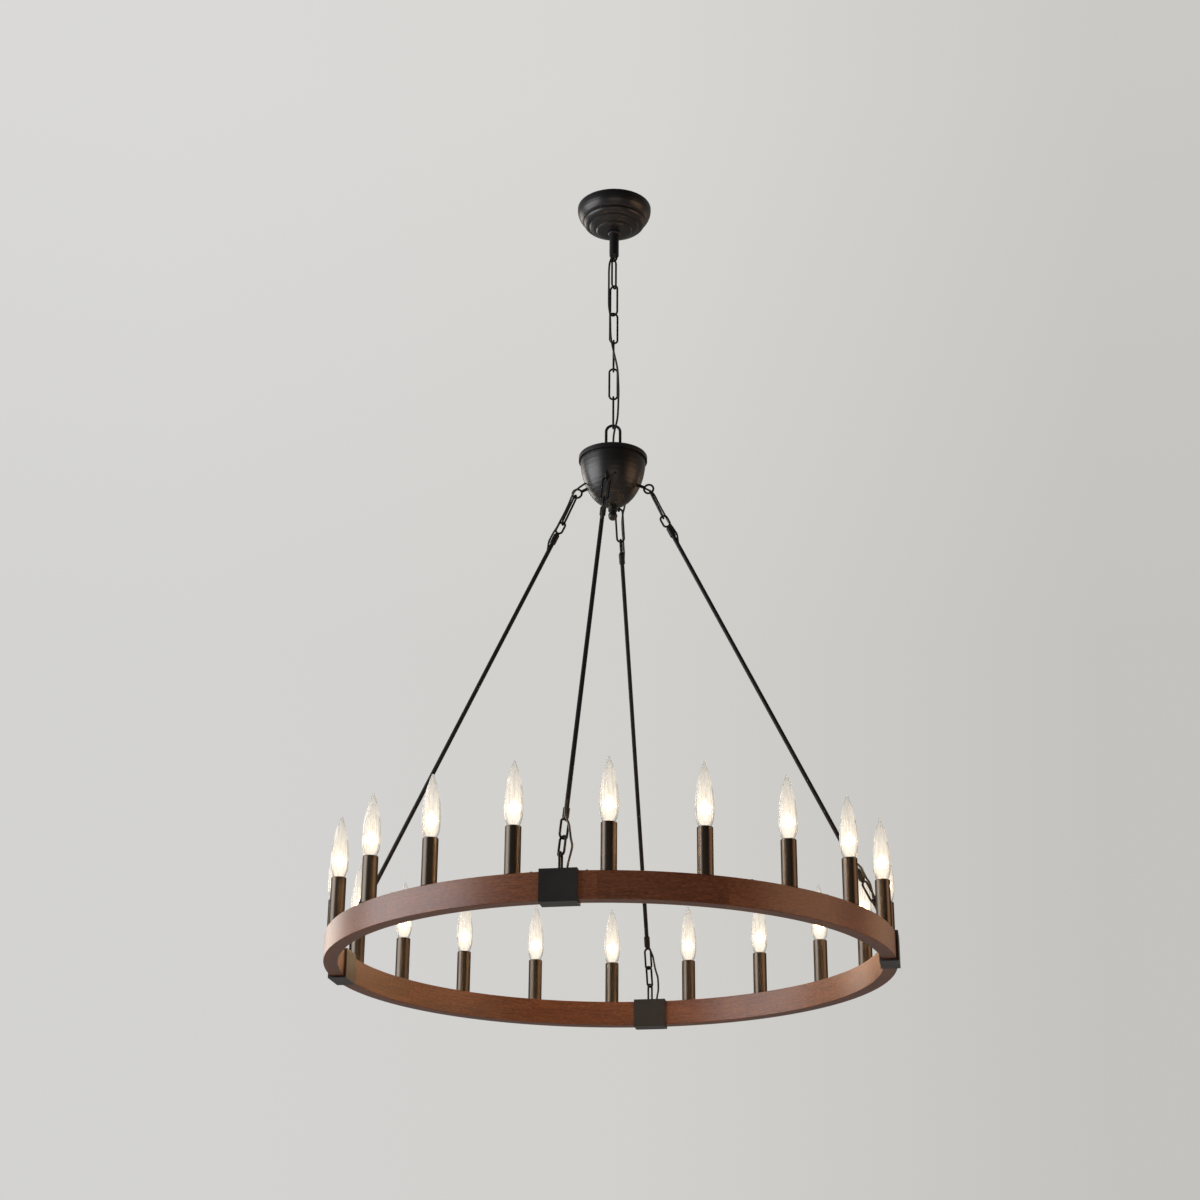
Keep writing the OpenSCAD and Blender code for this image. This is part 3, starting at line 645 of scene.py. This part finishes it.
def makeBulbs(b):
    meshes = {
        "glass": (glassShape(b), glassClear, "bulb_glass"),
        "base": (baseShape(b), metals["socket_brass"], "socket_brass"),
        "mount": (lathe(inMetres(b["mount"]), 32), glassClear, "bulb_glass"),
        "strands": (strandShape(b["strands"]), hotWire("filament"), "bulb_glass"),
    }
    made = {"glow": (glowMesh(b), "bulb_glass")}
    for key, ((points, faces), material, slotName) in meshes.items():
        made[key] = (newMesh(key, points, faces, material), slotName)
    for k in range(b["count"]):
        a = radians(-90 + (k + 0.5) * 360 / b["count"])
        circle, sleeveTop = b["circle"] / 1000, b["sleeveTop"] / 1000
        spot = Matrix.Translation((circle * cos(a), circle * sin(a), sleeveTop))
        spin = Matrix.Rotation(a * 7.3, 4, "Z")  # so that no two bulbs stand alike
        number = "%02d" % (k + 1)
        for key, (data, slotName) in made.items():
            thing = bpy.data.objects.new("%s_%s" % (key, number), data)
            scene.collection.objects.link(thing)
            thing.matrix_world = spot @ spin
            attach(thing, "bulb_" + number)
            if key == "glass":
                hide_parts("bulb_" + number)
            if key == "glow":
                thing.visible_shadow = False
        lamp = bpy.data.lights.new("lamp_" + number, "POINT")
        lamp.energy, lamp.color = b["lamp"]["power"], b["lamp"]["colour"]
        lamp.shadow_soft_size = b["lamp"]["radius"] / 1000
        light = bpy.data.objects.new("lamp_" + number, lamp)
        scene.collection.objects.link(light)
        light.location = spot.translation + Vector((0, 0, b["lamp"]["up"] / 1000))
        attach(light, "bulb_" + number)


makeBulbs(bulb)
print("bulbs made")


# Feed cord and leads

# Way of the feed cord along the chain, in mm
feed = {
    "radius": 2, "sides": 14, "steps": 5,
    "route": [
        (0, 0, -20), (0, 0, -72), (-1, -1, -80), (-3, -2, -89), (-4.5, -3, -98), (-4.5, -3, -113),
        (-6, -3.5, -121), (-8.5, -4.5, -132), (-9.5, -4.5, -150), (-9.5, -4, -170), (-9.5, -4.5, -190),
        (-9.5, -4.5, -210), (-9, -5, -230), (-6, -9.5, -250), (-5, -10.5, -270), (-4.5, -11, -290),
        (-3, -12, -308), (0, -13.5, -325), (4, -13, -345), (7.5, -10, -362), (9.5, -6, -378),
        (10.5, -4.5, -400), (11, -4, -420), (10.5, -3, -440), (10, -3, -460), (9.5, -6, -478),
        (8, -10, -493), (5.5, -13.5, -508), (3.5, -15.5, -524), (3, -16, -545), (3, -16, -575),
        (2, -14, -590)],
    # pieces of it, one for each joint: bodies, heights of its ends, heights of its bend
    "spans": [
        ("ceiling_mount", "top_link", -20, -154, -112, -138),
        ("top_link", "chain", -154, -310, -172, -200),
        ("chain", "low_link", -310, -467, -422, -449),
        ("low_link", "wheel", -467, -600, -484, -512)],
}


def makeFeed(f):
    line = curveThrough([Vector(p) / 1000 for p in f["route"]], f["steps"])
    for n, (a, b, high, low, bend0, bend1) in enumerate(f["spans"]):
        # each piece runs 4 mm into the next one
        part = [p for p in line if low / 1000 - 0.004 <= p.z <= high / 1000 + 0.0005]
        points, faces = sweep(part, f["radius"] / 1000, f["sides"])
        data = newMesh("feedCord%d" % n, points, faces, metals["cord_sheath"])
        thing = newPiece("feedCord%d" % n, data, None)
        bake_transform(thing)
        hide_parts("feed_cord")


makeFeed(feed)


# Line of a stay, from its top to its end, and the lead that runs beside and inside it, in mm
lead = {
    "radius": 1.9, "sides": 12, "steps": 6,
    "stayTop": (67.1, -634), "stayEnd": (481, -1489.5),
    "hub": [(34, 10, -604), (44, 13, -614), (54, 13, -621), (64, 13, -628)],
    # distance down the stay, to its side, up off it
    "beside": [
        (3, 11, 5), (15, 7, 6.5), (30, 4.5, 6), (46, 4, 5.5), (64, 4.2, 5.5), (80, 4.2, 5.5),
        (93, 4, 6.8), (105, 2.5, 7.6), (114, 1, 7.4), (134, 0, 0.8), (140, 0, 0), (150, 0, 0),
        (170, 0, 0), (210, 0, 0), (290, 0, 0), (480, 0, 0), (672, 0, 0), (752, 0, 0), (792, 0, 0),
        (812, 0, 0), (822, 0, 0), (828, 0, 0.8), (844, 0, 7.4), (858, 0.4, 7.7), (868, 1.6, 7.9),
        (878, 4.4, 8.8), (889, 8.6, 6.6), (901, 10.8, 2.8), (912, 12.6, 0.6), (922, 15, 0),
        (932, 16.6, 1)],
    "clamp": [(486, 15.6, -1491), (488.5, 13.4, -1502), (488.5, 12, -1513), (488.5, 12, -1525)],
}


def makeLeads(d):
    (r0, z0), (r1, z1) = d["stayTop"], d["stayEnd"]
    tilt = atan((r1 - r0) / (z0 - z1))
    route = list(d["hub"])
    for along, side, off in d["beside"]:
        out = r0 + along * sin(tilt) + off * cos(tilt)
        route.append((out, side, z0 - along * cos(tilt) + off * sin(tilt)))
    route = [Vector(p) / 1000 for p in route + d["clamp"]]
    for n in range(4):
        flip = -1 if n == 2 else 1  # the back lead is on the other side of its stay
        line = curveThrough([(p.x, p.y * flip, p.z) for p in route], d["steps"])
        turn = Matrix.Rotation(radians(90 * n - 90), 3, "Z")
        points, faces = sweep([turn @ p for p in line], d["radius"] / 1000, d["sides"])
        name = "stayLead%d" % n
        data = newMesh(name, points, faces, metals["cord_sheath"])
        thing = newPiece(name, data, "wheel")
        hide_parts("stay_leads")


makeLeads(lead)
print("cords made")


# Stage and light

# Metres and watts; the lamps face the wheel
stage = {
    "floor": -3.15, "reach": 9.0, "floorColour": (0.66, 0.65, 0.63),
    # colours of the background from left to right
    "sides": [(0.0, (0.655, 0.65, 0.645)), (0.5, (0.64, 0.632, 0.605)), (1.0, (0.55, 0.542, 0.518))],
    "fill": 0.29, "fillColour": (1.0, 0.98, 0.95), "gloss": 0.5,
    "aim": (0, 0, -1.1),
    "lamps": {
        "window": {"place": (-2.05, -0.88, -0.75), "size": (2.15, 1.4), "power": 67,
                   "colour": (0.97, 0.97, 1.0)},
        "windowBehind": {"place": (-3.1, 2.5, -0.3), "size": (1.7, 2.0), "power": 48,
                         "colour": (1.0, 0.91, 0.82)},
        "evening": {"place": (2.9, -0.3, -0.95), "size": (2.0, 1.1), "power": 25,
                    "colour": (1.0, 0.6, 0.36)},
        "eveningBehind": {"place": (2.9, 2.9, -0.7), "size": (1.6, 1.4), "power": 10,
                          "colour": (1.0, 0.56, 0.26)},
        "front": {"place": (0.9, -4.6, -2.2), "size": (3.2, 1.6), "power": 27,
                  "colour": (1.0, 0.83, 0.68)},
    },
}


def makeFloor(s):
    paint = Paint("floorPaint")
    cloud = paint.noise(paint.place(), 1.4, 4)
    paint.set(Base_Color=paint.mix(cloud, tuple(v * 0.97 for v in s["floorColour"]), s["floorColour"]),
              Roughness=0.85)
    r, z = s["reach"], s["floor"]
    corners = [(-r, -r, z), (r, -r, z), (r, r, z), (-r, r, z)]
    data = newMesh("floor", corners, [(0, 1, 2, 3)], paint.material, False)
    floor = bpy.data.objects.new("floor", data)
    scene.collection.objects.link(floor)


def makeRoom(s):
    # pale behind the lamp, a little darker to the right, dim behind the camera
    world = bpy.data.worlds.new("room")
    scene.world = world
    world.use_nodes = True
    w = Sheet(world.node_tree)
    x, y, z = w.split(w.add("ShaderNodeTexCoord"))
    across = x * 0.987 + y * 0.163
    ahead = y * 0.85 - x * 0.45
    colour = w.ramp(w.range(across, -0.2, 0.22), s["sides"])
    colour = w.stretch(colour, w.range(z, 0.36, 0.58, 1.0, 1.07))
    depth = w.range(ahead, -0.75, 0.3, 0.05, 1.0)
    ray = w.add("ShaderNodeLightPath")
    seen = w.add("ShaderNodeBackground", {}, {0: colour, 1: 1.0})
    sheen = w.add("ShaderNodeBackground", {}, {0: colour, 1: depth * s["gloss"]})
    fill = w.add("ShaderNodeBackground", {}, {0: s["fillColour"], 1: s["fill"]})
    # fill light, but the colours above in reflections, through the glass and straight on
    mixed = fill
    for kind, look in (("Glossy", sheen), ("Transmission", seen), ("Camera", seen)):
        mixed = w.add("ShaderNodeMixShader", {}, {0: ray.out("Is %s Ray" % kind), 1: mixed, 2: look})
    w.add("ShaderNodeOutputWorld", {}, {0: mixed})


def makeLamps(s):
    for name, v in s["lamps"].items():
        data = bpy.data.lights.new(name, "AREA")
        data.shape, data.size, data.size_y = "RECTANGLE", *v["size"]
        data.energy, data.color = v["power"], v["colour"]
        light = bpy.data.objects.new(name, data)
        scene.collection.objects.link(light)
        place = Vector(v["place"])
        aim = (Vector(s["aim"]) - place).to_track_quat("-Z", "Y").to_matrix().to_4x4()
        light.matrix_world = Matrix.Translation(place) @ aim
        light.visible_camera = False
        light.visible_transmission = False  # so that the bulbs' glass bends no lamp into view


makeFloor(stage)
makeRoom(stage)
makeLamps(stage)
scene.view_settings.view_transform = "Standard"
print("stage made")
